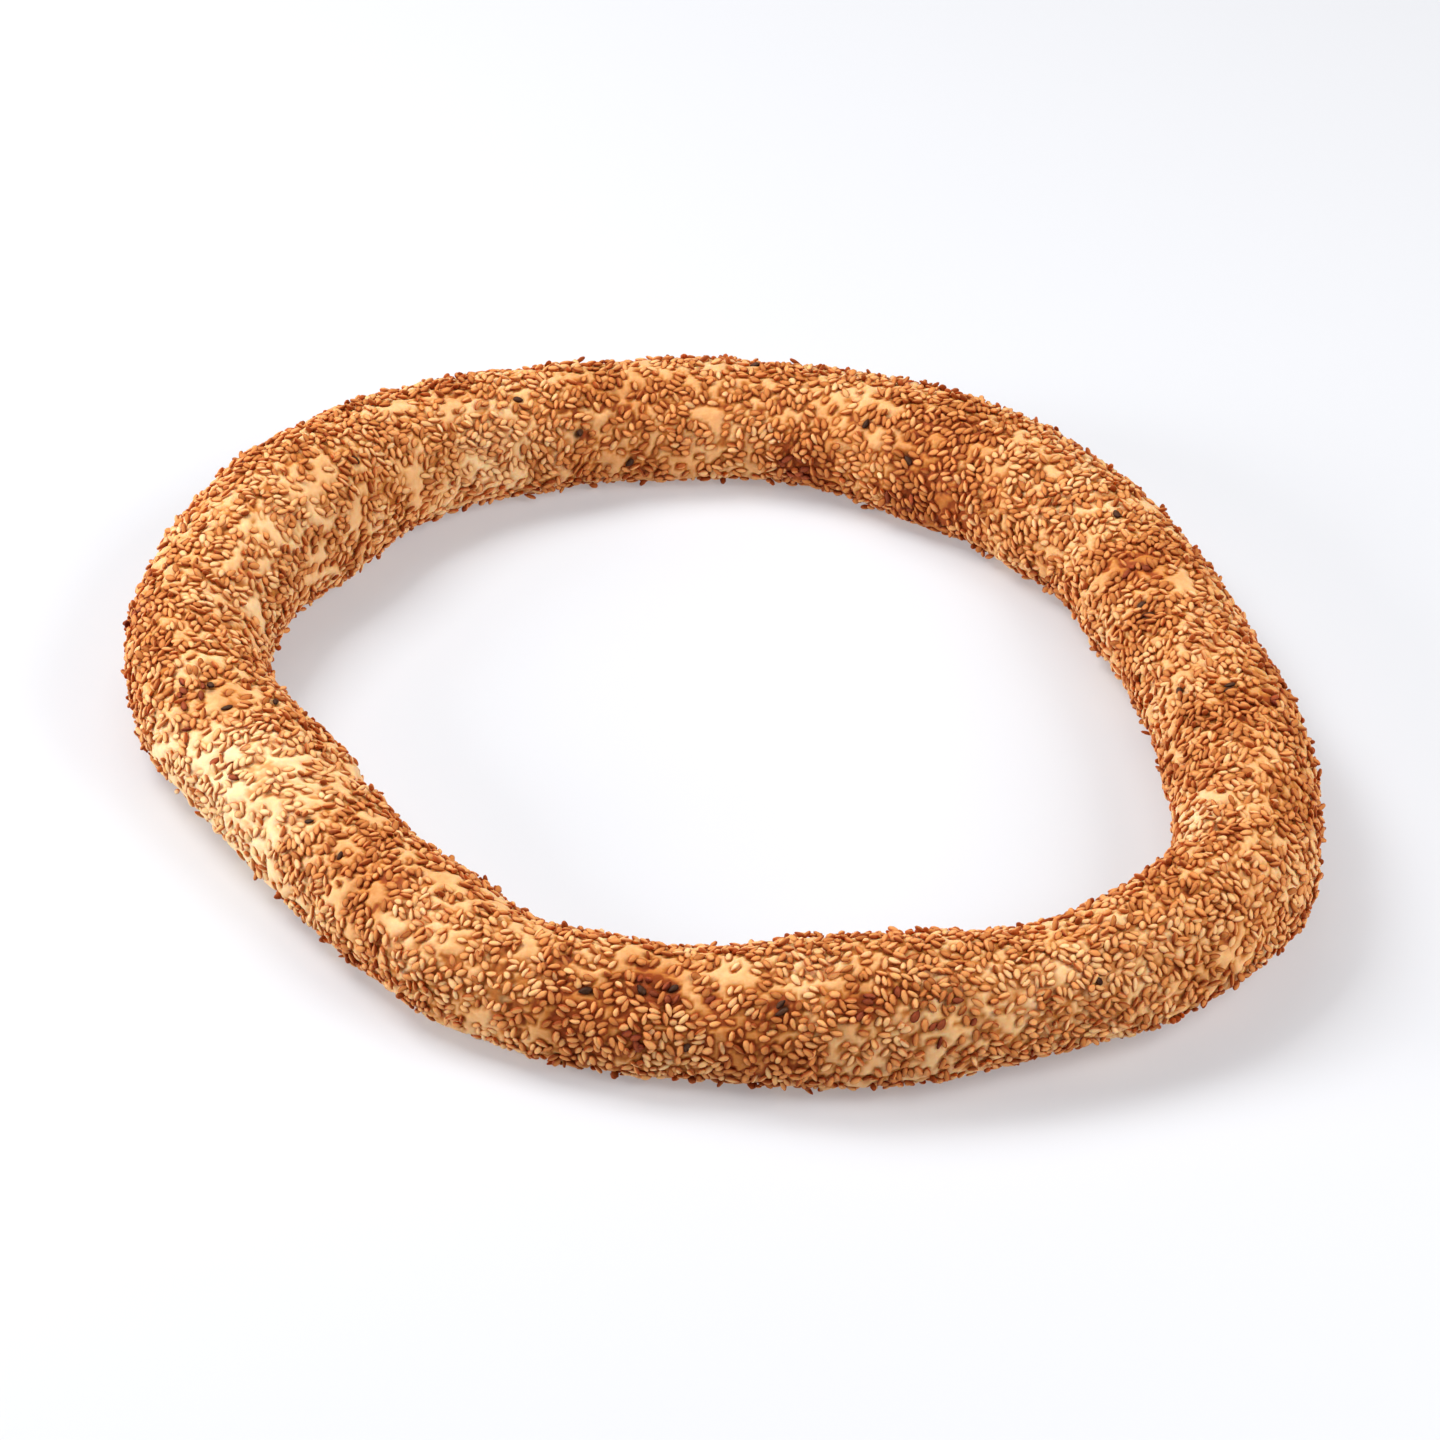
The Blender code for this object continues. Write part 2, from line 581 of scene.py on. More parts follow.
def end_tree(net, shape, material):
    """Every tree ends here: instances made real, and the material set."""
    real = net.node("GeometryNodeRealizeInstances", None, {0: shape}).outputs[0]
    done = net.node("GeometryNodeSetMaterial", None, {"Geometry": real, "Material": material})
    end = net.node("NodeGroupOutput")
    net.tree.links.new(done.outputs[0], end.inputs[0])


def named(net, name, kind="FLOAT"):
    return net.node("GeometryNodeInputNamedAttribute", {"data_type": kind}, {"Name": name}).outputs[0]


def raised(net, shape, amount, floor_height):
    """Moves the surface outwards by amount, and keeps it above floor_height."""
    outward = net.node("GeometryNodeInputNormal").outputs[0]
    moved = net.node("GeometryNodeSetPosition", None, {0: shape, "Offset": net.scaled(outward, amount)})
    place = net.node("GeometryNodeInputPosition").outputs[0]
    parts = net.node("ShaderNodeSeparateXYZ", None, {0: place}).outputs
    height = net.maths("MAXIMUM", Value(net, parts[2]), floor_height)
    kept = net.node("ShaderNodeCombineXYZ", None, {0: parts[0], 1: parts[1], 2: height}).outputs[0]
    return net.node("GeometryNodeSetPosition", None, {0: moved.outputs[0], "Position": kept}).outputs[0]


def relief_tree():
    """Slow swellings and puckers over the crust, with less of them where it is bare."""
    sizes = ("Swelling size", "Swelling height", "Pucker size", "Pucker height", "Lowest height")
    sockets = [(label, "Float", 0.001) for label in sizes] + [("Material", "Material", None)]
    net, given = new_tree("crust_relief", sockets)
    place = net.node("GeometryNodeInputPosition").outputs[0]
    swelling = net.noise(place, given["Swelling size"], 1.0) - 0.5
    pucker = net.noise(place, given["Pucker size"], 2.0, 0.45, 0.3) - 0.5
    calm = 1 - 0.75 * Value(net, named(net, "bare"))
    amount = swelling * given["Swelling height"] * 2 + pucker * calm * given["Pucker height"] * 2
    end_tree(net, raised(net, given["Geometry"], amount, given["Lowest height"]), given["Material"])
    return net.tree


def socket_tree():
    """Beds each seed in a hollow, lets the crust puff up between the seeds, and marks the hollows with painted shade:
    darker crust close to each seed and in the empty beds.
    """
    sizes = ("Hollow depth", "Empty depth", "Hollow reach", "Puff height", "Lowest height")
    sockets = [(label, "Float", 0.001) for label in sizes]
    sockets += [("Seed cores", "Object", None), ("Empty cores", "Object", None), ("Material", "Material", None)]
    net, given = new_tree("seed_hollows", sockets)

    def far_from(cores):
        lines = net.node("GeometryNodeObjectInfo", None, {0: given[cores]}).outputs["Geometry"]
        near = net.node("GeometryNodeProximity", {"target_element": "EDGES"}, {0: lines})
        return Value(net, near.outputs["Distance"]) / given["Hollow reach"]

    far = far_from("Seed cores")
    hollow = 1 - net.step(far, 0.6, 1.25)
    empty = 1 - net.step(far_from("Empty cores"), 0.2, 1.0)
    puff = net.step(far, 0.8, 1.7)
    keep = {"data_type": "FLOAT", "domain": "POINT"}
    # Painted shade: the crust darkens close to each seed and in the empty beds, where shade falls.
    dark = (1 - net.step(far, 0.72, 1.12)) * 0.8 + empty
    marked = net.node("GeometryNodeStoreNamedAttribute", keep, {0: given["Geometry"], "Name": "hollow", "Value": dark})
    amount = puff * given["Puff height"] - hollow * given["Hollow depth"] - empty * given["Empty depth"]
    end_tree(net, raised(net, marked.outputs[0], amount, given["Lowest height"]), given["Material"])
    return net.tree


def sesame_tree():
    """Sets one of the seed shapes on every point, turned and sized by the point's own marks."""
    sizes = ("Length", "Width", "Thickness", "Map cells")
    sockets = [(label, "Float", 0.001) for label in sizes]
    sockets += [("Seed shapes", "Collection", None), ("Material", "Material", None)]
    net, given = new_tree("sesame_coat", sockets)
    apart = {"Collection": given["Seed shapes"], "Separate Children": True, "Reset Children": True}
    shapes = net.node("GeometryNodeCollectionInfo", None, apart).outputs[0]
    axes = {"primary_axis": "Z", "secondary_axis": "X"}
    facing = {0: named(net, "facing", "FLOAT_VECTOR"), 1: named(net, "lying", "FLOAT_VECTOR")}
    turn = net.node("FunctionNodeAxesToRotation", axes, facing).outputs[0]
    size = net.node("ShaderNodeCombineXYZ", None, {0: given["Length"], 1: given["Width"], 2: given["Thickness"]})
    build = net.vectors("MULTIPLY", size.outputs[0], named(net, "build", "FLOAT_VECTOR"))
    set_on = {
        "Points": given["Geometry"],
        "Instance": shapes,
        "Pick Instance": True,
        "Instance Index": named(net, "shape", "INT"),
        "Rotation": turn,
        "Scale": build,
    }
    placed = net.node("GeometryNodeInstanceOnPoints", None, set_on).outputs[0]
    real = net.node("GeometryNodeRealizeInstances", None, {0: placed}).outputs[0]
    cell = named(net, "cell", "FLOAT_VECTOR")
    flat = net.vectors("ADD", named(net, BAKE_MAP, "FLOAT_VECTOR"), cell)
    flat = net.scaled(flat, 1 / given["Map cells"])
    keep = {"data_type": "FLOAT2", "domain": "CORNER"}
    mapped = net.node("GeometryNodeStoreNamedAttribute", keep, {0: real, "Name": BAKE_MAP, "Value": flat})
    end_tree(net, mapped.outputs[0], given["Material"])
    return net.tree


def grown(mesh, tree, inputs, name):
    """The mesh that a Geometry Nodes tree makes from this one, with no modifier left."""
    carrier = bpy.data.objects.new(name + "_carrier", mesh)
    bpy.context.scene.collection.objects.link(carrier)
    modifier = carrier.modifiers.new(tree.name, "NODES")
    modifier.node_group = tree
    for item in tree.interface.items_tree:
        if item.in_out == "INPUT" and item.name in inputs:
            modifier[item.identifier] = inputs[item.name]
    graph = bpy.context.evaluated_depsgraph_get()
    made = bpy.data.meshes.new_from_object(
        carrier.evaluated_get(graph), preserve_all_data_layers=True, depsgraph=graph
    )
    made.name = name
    bpy.data.objects.remove(carrier)
    bpy.data.meshes.remove(mesh)
    return made


def finished_piece(name, mesh):
    piece = bpy.data.objects.new(name, mesh)
    bpy.context.scene.collection.objects.link(piece)
    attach(piece, BODY)
    return piece


# ---------------------------------------------------------------- crust


def crust_material(look):
    material = bpy.data.materials.new("baked_crust")
    material.use_nodes = True
    material.node_tree.nodes.clear()
    net = Net(material.node_tree)
    place = net.node("ShaderNodeTexCoord").outputs["Object"]
    toast = Value(net, net.node("ShaderNodeAttribute", {"attribute_name": "toast"}).outputs["Fac"])
    hollow = Value(net, net.node("ShaderNodeAttribute", {"attribute_name": "hollow"}).outputs["Fac"])
    scorch = Value(net, net.node("ShaderNodeAttribute", {"attribute_name": "scorch"}).outputs["Fac"])
    clouds = net.noise(place, 7 * MM, 3.0, 0.55, 0.4) - 0.5
    flecks = net.noise(place, 1.6 * MM, 2.0, 0.6) - 0.5
    # The hollow mark adds painted shade close to the seeds and in the empty beds, and the browning mark carries painted
    # shade on the flanks in shade and painted light low on the outer left.
    brown = toast + clouds * 0.16 + flecks * 0.34 + hollow * 0.5 - 0.06
    stops = (
        (0.0, rgba(look.pale)),
        (0.42, rgba(look.golden)),
        (0.75, rgba(look.brown)),
        (1.0, rgba(look.dark)),
    )
    colour = net.node("ShaderNodeValToRGB", {"stops": stops}, {0: brown}).outputs[0]
    colour = net.mix(scorch, colour, rgba(look.burnt))
    pores = net.noise(place, 0.55 * MM, 2.0, 0.6)
    skin_grain = net.noise(place, 1.7 * MM, 2.0, 0.5)
    height = pores * 0.35 + skin_grain * 0.65
    bump = {"Strength": 0.7, "Distance": 0.25 * MM, "Height": height}
    shaped = net.node("ShaderNodeBump", None, bump).outputs[0]
    sheen = 0.50 + (skin_grain - 0.5) * 0.22 + toast * 0.04
    surface = net.node(
        "ShaderNodeBsdfPrincipled",
        None,
        {
            "Base Color": colour,
            "Roughness": sheen,
            "Specular IOR Level": 0.07,
            "Subsurface Weight": 0.4,
            "Subsurface Radius": (1.0, 0.32, 0.10),
            "Subsurface Scale": 1.4 * MM,
            "Normal": shaped,
        },
    )
    net.node("ShaderNodeOutputMaterial", None, {0: surface.outputs[0]})
    return material


class CrustSettings(bpy.types.PropertyGroup):
    """Sizes and colours of the crust."""

    inset: bpy.props.FloatProperty(
        name="Room for seeds",
        description="How far the crust lies inside the ring's outer size, which runs to the backs of the seeds",
        default=0.5 * MM,
        unit="LENGTH",
    )
    lowest: bpy.props.FloatProperty(
        name="Resting gap",
        description="Height of the crust's lowest points, which rest on the seeds under them",
        default=0.45 * MM,
        unit="LENGTH",
    )
    swelling_size: bpy.props.FloatProperty(
        name="Swelling size",
        description="Distance over which the strand swells and thins",
        default=19 * MM,
        unit="LENGTH",
    )
    swelling_height: bpy.props.FloatProperty(
        name="Swelling height",
        description="Height of the swellings",
        default=0.9 * MM,
        unit="LENGTH",
    )
    pucker_size: bpy.props.FloatProperty(
        name="Pucker size",
        description="Distance between the small puckers of the baked skin",
        default=4.6 * MM,
        unit="LENGTH",
    )
    pucker_height: bpy.props.FloatProperty(
        name="Pucker height",
        description="Height of the puckers",
        default=0.62 * MM,
        unit="LENGTH",
    )
    hollow_depth: bpy.props.FloatProperty(
        name="Hollow depth",
        description="How deep a seed's bed is pressed",
        default=0.28 * MM,
        unit="LENGTH",
    )
    empty_depth: bpy.props.FloatProperty(
        name="Empty bed depth",
        description="How deep a bed stays where its seed fell out",
        default=0.55 * MM,
        unit="LENGTH",
    )
    hollow_reach: bpy.props.FloatProperty(
        name="Hollow reach",
        description="How far a seed's bed reaches from the line through the seed",
        default=1.0 * MM,
        unit="LENGTH",
    )
    puff: bpy.props.FloatProperty(
        name="Puff between seeds",
        description="How far the crust swells up between seeds",
        default=0.34 * MM,
        unit="LENGTH",
    )
    pale: bpy.props.FloatVectorProperty(
        name="Pale crust",
        description="Colour of crust that hardly browned",
        default=(0.96, 0.71, 0.40),
        subtype="COLOR",
    )
    golden: bpy.props.FloatVectorProperty(
        name="Golden crust",
        description="Colour of most of the crust",
        default=(0.84, 0.46, 0.195),
        subtype="COLOR",
    )
    brown: bpy.props.FloatVectorProperty(
        name="Browned crust",
        description="Colour of crust that browned well",
        default=(0.585, 0.206, 0.042),
        subtype="COLOR",
    )
    dark: bpy.props.FloatVectorProperty(
        name="Darkest crust",
        description="Colour of the most browned crust",
        default=(0.345, 0.07, 0.015),
        subtype="COLOR",
    )
    burnt: bpy.props.FloatVectorProperty(
        name="Burnt spots",
        description="Colour of the small scorched spots",
        default=(0.07, 0.028, 0.012),
        subtype="COLOR",
    )


def shaped_skin(look):
    """The crust's grid with the ridge of the front and the crease of the joint in it."""
    skin = trace_skin(look.inset)
    outward = skin_frames(skin)[2]
    ridge = beside_line(skin, RIDGE, 4.2 * MM)
    crease = beside_line(skin, CREASE, 2.2 * MM)
    shoulder = beside_line(skin, CREASE, 6.0 * MM)
    push = ridge * 0.7 - crease * 1.6 + shoulder * 0.5
    for clock, around, reach, far in DENTS:
        push = push + far * patches(skin, [(clock, around, reach, 1.0)])
    return skin + outward * push[:, :, None] * MM


def browning_with_painted_light(rng, skin, outward):
    """How brown the crust is, 0 pale to 1 dark: more on top and where it stood out, less low down, with painted shade
    on the flanks that lie in shade and painted light low on the outer left.
    """
    height = (skin[:, :, 2] - skin[:, :, 2].min()) / np.ptp(skin[:, :, 2])
    field = 0.41 + 0.02 * height
    field = field + 0.05 * mottle(rng, skin, 26 * MM) + 0.05 * mottle(rng, skin, 8 * MM)
    browned = patches(skin, BROWNED_AND_SHADED) + patches(skin, PAINTED_FLANK_SHADE) + 0.4 * patches(skin, SINGED)
    return field + browned - patches(skin, PALE_AND_LIT)


class BREAD_OT_crust(bpy.types.Operator):
    """Bake the crust: read the ring's surface, and add its swellings, puckers, ridge and crease"""

    bl_idname = "bread.crust"
    bl_label = "Bake the crust"

    def execute(self, context):
        look = context.scene.bread_crust
        rng = np.random.default_rng(11)
        skin = shaped_skin(look)
        outward = skin_frames(skin)[2]
        mesh = grid_mesh("skin", skin)
        add_field(mesh, "bare", patches(skin, BARE))
        add_field(mesh, "toast", browning_with_painted_light(rng, skin, outward))
        add_field(mesh, "scorch", np.clip(patches(skin, SCORCHED) * 1.7 - 0.7, 0, 1))
        sizes = {
            "Swelling size": look.swelling_size,
            "Swelling height": look.swelling_height,
            "Pucker size": look.pucker_size,
            "Pucker height": look.pucker_height,
            "Lowest height": look.lowest,
            "Material": crust_material(look),
        }
        grown(mesh, relief_tree(), sizes, "crust_skin")
        return {"FINISHED"}


# ---------------------------------------------------------------- sesame


def seed_shape(name, wide, thick, bend):
    """One seed of unit length, width and thickness, lying along X, pointed at its low end."""
    turns = np.arange(SHAPE_SIDES) * 2 * math.pi / SHAPE_SIDES
    points = [(-0.5, bend, 0.0)]
    lengths = [0.0]
    skirts = [1.0]
    for along, width, depth, aside in SHAPE_RINGS:
        sag = bend * (2 * along - 1) ** 2 + aside
        for turn in turns:
            side = 0.5 * width * wide * math.cos(turn) + sag
            points.append((along - 0.5, side, 0.5 * depth * thick * math.sin(turn)))
            lengths.append(along)
            # skirt is 1 on the seed's underside and 0 on its top; the seed material paints shade with it.
            skirts.append(min(1.0, 1 - math.sin(turn)))
    points.append((0.5, bend, 0.0))
    lengths.append(1.0)
    skirts.append(1.0)
    faces, corners = seed_faces(lengths)
    mesh = bpy.data.meshes.new(name)
    mesh.from_pydata(points, [], faces)
    mesh.shade_smooth()
    mesh.uv_layers.new(name=BAKE_MAP).uv.foreach_set("vector", np.array(corners).ravel())
    mesh.attributes.new("length", "FLOAT", "POINT").data.foreach_set("value", lengths)
    mesh.attributes.new("skirt", "FLOAT", "POINT").data.foreach_set("value", skirts)
    mesh.update()
    return mesh


def seed_faces(lengths):
    """The seed's faces, and each corner's place in the seed's own cell of the map: round it and along it."""
    last = len(lengths) - 1
    faces = []
    corners = []
    inner = 0.88
    margin = 0.06

    def place(step, point):
        return (margin + inner * step / SHAPE_SIDES, margin + inner * lengths[point])

    def ring(level, step):
        return 1 + level * SHAPE_SIDES + step % SHAPE_SIDES

    for step in range(SHAPE_SIDES):
        first = ring(0, step)
        second = ring(0, step + 1)
        faces.append((0, second, first))
        corners += [place(step + 0.5, 0), place(step + 1, second), place(step, first)]
        for level in range(len(SHAPE_RINGS) - 1):
            quad = (ring(level, step), ring(level, step + 1), ring(level + 1, step + 1), ring(level + 1, step))
            faces.append(quad)
            corners += [place(step, quad[0]), place(step + 1, quad[1])]
            corners += [place(step + 1, quad[2]), place(step, quad[3])]
        first = ring(len(SHAPE_RINGS) - 1, step)
        second = ring(len(SHAPE_RINGS) - 1, step + 1)
        faces.append((last, first, second))
        corners += [place(step + 0.5, last), place(step, first), place(step + 1, second)]
    return faces, corners


def strewn(rng, skin, look):
    """Grid places for the seeds, more where the coat is dense, none where the crust is bare."""
    area = skin_frames(skin)[3]
    coat = 1 + 0.07 * mottle(rng, skin, 4 * MM) + 0.03 * mottle(rng, skin, 20 * MM)
    thin = patches(skin, [(200, 42, 32, 0.28), (222, 60, 24, 0.08), (150, 150, 18, 0.15), (292, 14, 12, 0.15), (105, 140, 18, 0.15)])
    coat = np.clip(coat - thin, 0.3, 1.7) * np.clip(1.2 - 1.5 * patches(skin, BARE), 0.02, 1)
    coat = np.where(skin[:, :, 2] < 2.2 * MM, 0.45 * coat, coat)
    weight = coat * area
    count = int(weight.sum() * look.density * 1e4)
    cells = rng.choice(weight.size, count, p=(weight / weight.sum()).ravel())
    at = np.stack([cells // ROWS, cells % ROWS], axis=1) + rng.random((count, 2))
    return at


def near_pairs(points, reach):
    tree = KDTree(len(points))
    for n, point in enumerate(points):
        tree.insert(point, n)
    tree.balance()
    first = []
    second = []
    for n, point in enumerate(points):
        for _, other, _ in tree.find_range(point, reach):
            if other > n:
                first.append(n)
                second.append(other)
    return np.array(first), np.array(second)


def unit(vectors):
    return vectors / np.linalg.norm(vectors, axis=-1, keepdims=True)


def seed_frames(at, turn, grid):
    """Place, outward direction, lying direction and side direction of every seed."""
    skin, along, around, outward = grid
    place = sample(skin, at)
    up = unit(sample(outward, at))
    forward = sample(along, at)
    forward = unit(forward - up * np.sum(forward * up, axis=1, keepdims=True))
    side = np.cross(up, forward)
    lying = forward * np.cos(turn)[:, None] + side * np.sin(turn)[:, None]
    return place, up, lying


def jostled(at, turn, long, wide, grid, rounds):
    """Pushes and turns crowded seeds until they lie side by side. Each is three discs in a row."""
    skin, along, around, outward = grid
    offsets = np.array([-0.31, 0.02, 0.33])
    radii = np.array([0.32, 0.45, 0.40])
    for step in range(rounds):
        place, up, lying = seed_frames(at, turn, grid)
        if step % 4 == 0:
            first, second = near_pairs(place, 3.3 * MM)
        push = np.zeros_like(place)
        twist = np.zeros(len(at))
        for a in range(3):
            for b in range(3):
                arm_a = lying[first] * (offsets[a] * long[first])[:, None]
                arm_b = lying[second] * (offsets[b] * long[second])[:, None]
                gap = place[first] + arm_a - place[second] - arm_b
                far = np.linalg.norm(gap, axis=1) + 1e-9
                room = radii[a] * wide[first] + radii[b] * wide[second]
                over = np.clip(room - far, 0, None)
                shove = gap * (0.5 * over / far)[:, None]
                np.add.at(push, first, shove)
                np.add.at(push, second, -shove)
                spin_a = np.sum(np.cross(arm_a, shove) * up[first], axis=1)
                spin_b = np.sum(np.cross(arm_b, -shove) * up[second], axis=1)
                np.add.at(twist, first, spin_a)
                np.add.at(twist, second, spin_b)
        push = np.clip(push * 0.5, -0.5 * MM, 0.5 * MM)
        forward = sample(along, at)
        climb = sample(around, at)
        at = at.copy()
        at[:, 0] += np.sum(push * forward, axis=1) / np.sum(forward * forward, axis=1)
        at[:, 1] += np.sum(push * climb, axis=1) / np.sum(climb * climb, axis=1)
        turn = turn + np.clip(twist / (0.16 * long**2), -0.3, 0.3)
    return at, turn


def crowding(place, lying, long, wide):
    """How much of each seed's width still lies over a neighbour."""
    first, second = near_pairs(place, 3.3 * MM)
    worst = np.zeros(len(place))
    for a in (-0.3, 0, 0.3):
        for b in (-0.3, 0, 0.3):
            gap = place[first] + lying[first] * (a * long[first])[:, None]
            gap = gap - place[second] - lying[second] * (b * long[second])[:, None]
            over = 1 - np.linalg.norm(gap, axis=1) / (0.45 * (wide[first] + wide[second]))
            np.maximum.at(worst, second, over)
    return np.clip(worst, 0, 1)


def turned(vectors, axes, angles):
    """Each vector turned about its own axis."""
    cosine = np.cos(angles)[:, None]
    sine = np.sin(angles)[:, None]
    along = np.sum(axes * vectors, axis=1, keepdims=True)
    return vectors * cosine + np.cross(axes, vectors) * sine + axes * along * (1 - cosine)


def laid_seeds(mesh, look):
    """Every seed's place, directions, build, shape, shade and toast, from the crust's own surface."""
    rng = np.random.default_rng(29)
    skin = mesh_places(mesh).reshape(COLUMNS, ROWS, 3)
    along, around, outward, _ = skin_frames(skin)
    grid = (skin, along, around, outward)
    at = strewn(rng, skin, look)
    count = len(at)
    flow = mottle(rng, skin, 24 * MM) * 1.1 + mottle(rng, skin, 9 * MM) * 0.4
    turn = sample(flow, at) + rng.normal(0, 0.45, count)
    loose = rng.random(count) < 0.5
    turn = np.where(loose, rng.random(count) * 2 * math.pi, turn + math.pi * rng.integers(0, 2, count))
    build = np.stack([rng.normal(1, 0.11, count), rng.normal(1, 0.10, count), rng.normal(1, 0.12, count)], axis=1)
    build = np.clip(build, 0.76, 1.2)
    long = look.length * build[:, 0]
    wide = look.width * build[:, 1]
    at, turn = jostled(at, turn, long, wide, grid, 15)
    place, up, lying = seed_frames(at, turn, grid)
    over = crowding(place, lying, long, wide)
    bare = sample(patches(skin, BARE), at)
    keep = (over < 0.8) & (bare < 0.85)
    at, place, up, lying, over, build = (x[keep] for x in (at, place, up, lying, over, build))
    return dress_seeds(rng, look, skin, at, place, up, lying, over, build, mesh)


def dress_seeds(rng, look, skin, at, place, up, lying, over, build, mesh):
    """Tips, rolls and lifts the seeds, stands a few up, and works out how toasted each one is, with painted light
    keeping the seeds low on the outer left paler.
    """
    count = len(at)
    side = np.cross(up, lying)
    sunk = np.clip(sample(mottle(rng, skin, 12 * MM), at), 0, 2)
    pitch = rng.normal(0, 0.24, count) + 0.5 * over * rng.choice([-1, 1], count)
    roll = rng.normal(0, 0.42, count)
    lift = rng.normal(0.10, 0.17, count) - 0.14 * sunk + 0.9 * over
    stand = rng.random(count) < look.standing
    pitch = np.where(stand, rng.uniform(0.4, 1.2, count), pitch)
    lift = np.where(stand, 0.75 + 0.3 * rng.random(count), lift)
    under = place[:, 2] < 2.0 * MM
    pitch = np.where(under, pitch * 0.3, pitch)
    roll = np.where(under, roll * 0.4, roll)
    lift = np.where(under, np.minimum(lift, 0.15), lift)
    lying = turned(lying, side, -pitch)
    up = turned(up, side, -pitch)
    up = turned(up, lying, roll)
    place = place + unit(np.cross(lying, np.cross(up, lying))) * (lift * MM)[:, None]
    tall = 0.5 * look.length * build[:, 0] * np.abs(lying[:, 2])
    tall = tall + 0.5 * look.thickness * build[:, 2] * np.abs(up[:, 2])
    tall = tall + 0.25 * look.width * build[:, 1] * (1 - np.abs(up[:, 2]))
    place[:, 2] = np.maximum(place[:, 2], tall * 1.03 + 0.08 * MM)
    toast = np.empty(len(mesh.vertices))
    mesh.attributes["toast"].data.foreach_get("value", toast)
    toast = sample(toast.reshape(COLUMNS, ROWS), at)
    proud = 0.10 * np.clip(lift, -0.3, 0.8) + 0.10 * stand
    # The seeds low on the outer left are painted paler as painted light.
    own = 0.8 * patches(skin, TOASTED) - patches(skin, UNTOASTED_AND_LIT)
    # The painted flank shade is taken off the seeds again, so only the crust under them is painted darker.
    own = own - 0.6 * patches(skin, PAINTED_FLANK_SHADE) + 0.3 * patches(skin, SCORCHED)
    own = own + 0.05 * mottle(rng, skin, 7 * MM)
    seed_toast_and_painted_light = 0.55 * toast + sample(own, at) + proud + rng.normal(0, 0.08, count)
    singed = rng.random(count) < sample(patches(skin, SINGED), at)
    burnt = beside_scorch(skin, place)
    rank = np.argsort(np.argsort(seed_toast_and_painted_light)) / count
    edges = np.cumsum([share for _, share in TOASTS])
    return {
        "place": place,
        "facing": up,
        "lying": lying,
        "build": build,
        "shape": rng.integers(0, len(SHAPE_KINDS), count),
        "shade": np.clip(0.5 + 0.28 * rng.standard_normal(count), 0, 1),
        "toast": np.where(burnt, len(TOASTS) + 1, np.where(singed, len(TOASTS), np.searchsorted(edges, rank))),
        "fallen": rng.random(count) < look.fallen + 0.6 * sample(patches(skin, FALLEN), at),
    }


def beside_scorch(skin, place):
    """Marks the seeds within a scorched spot, and at least the one nearest to it."""
    burnt = np.zeros(len(place), bool)
    for clock, around, reach, _ in SCORCHED:
        far = np.linalg.norm(place - sample(skin, grid_place(clock, around))[0], axis=1)
        burnt |= far <= max(far.min(), 0.8 * reach * MM)
    return burnt


def core_object(name, seeds, chosen, look):
    """A short line through each chosen seed, which the crust's hollows follow."""
    place = seeds["place"][chosen]
    arm = seeds["lying"][chosen] * (seeds["build"][chosen, :1] * look.length * 0.26)
    count = len(place)
    mesh = bpy.data.meshes.new(name)
    mesh.from_pydata(np.concatenate([place - arm, place + arm]), [(n, n + count) for n in range(count)], [])
    cores = bpy.data.objects.new(name, mesh)
    bpy.context.scene.collection.objects.link(cores)
    return cores


def point_mesh(seeds, chosen, cells):
    """The chosen seeds as points that carry their marks into the sesame tree."""
    places = seeds["place"][chosen]
    mesh = bpy.data.meshes.new("seed_points")
    mesh.from_pydata(places, [], [])
    for name in ("facing", "lying", "build"):
        mesh.attributes.new(name, "FLOAT_VECTOR", "POINT").data.foreach_set("vector", seeds[name][chosen].ravel())
    mesh.attributes.new("shape", "INT", "POINT").data.foreach_set("value", seeds["shape"][chosen])
    mesh.attributes.new("shade", "FLOAT", "POINT").data.foreach_set("value", seeds["shade"][chosen])
    order = np.arange(len(places))
    cell = np.stack([order % cells, order // cells, 0 * order], axis=1).astype(float)
    mesh.attributes.new("cell", "FLOAT_VECTOR", "POINT").data.foreach_set("vector", cell.ravel())
    return mesh


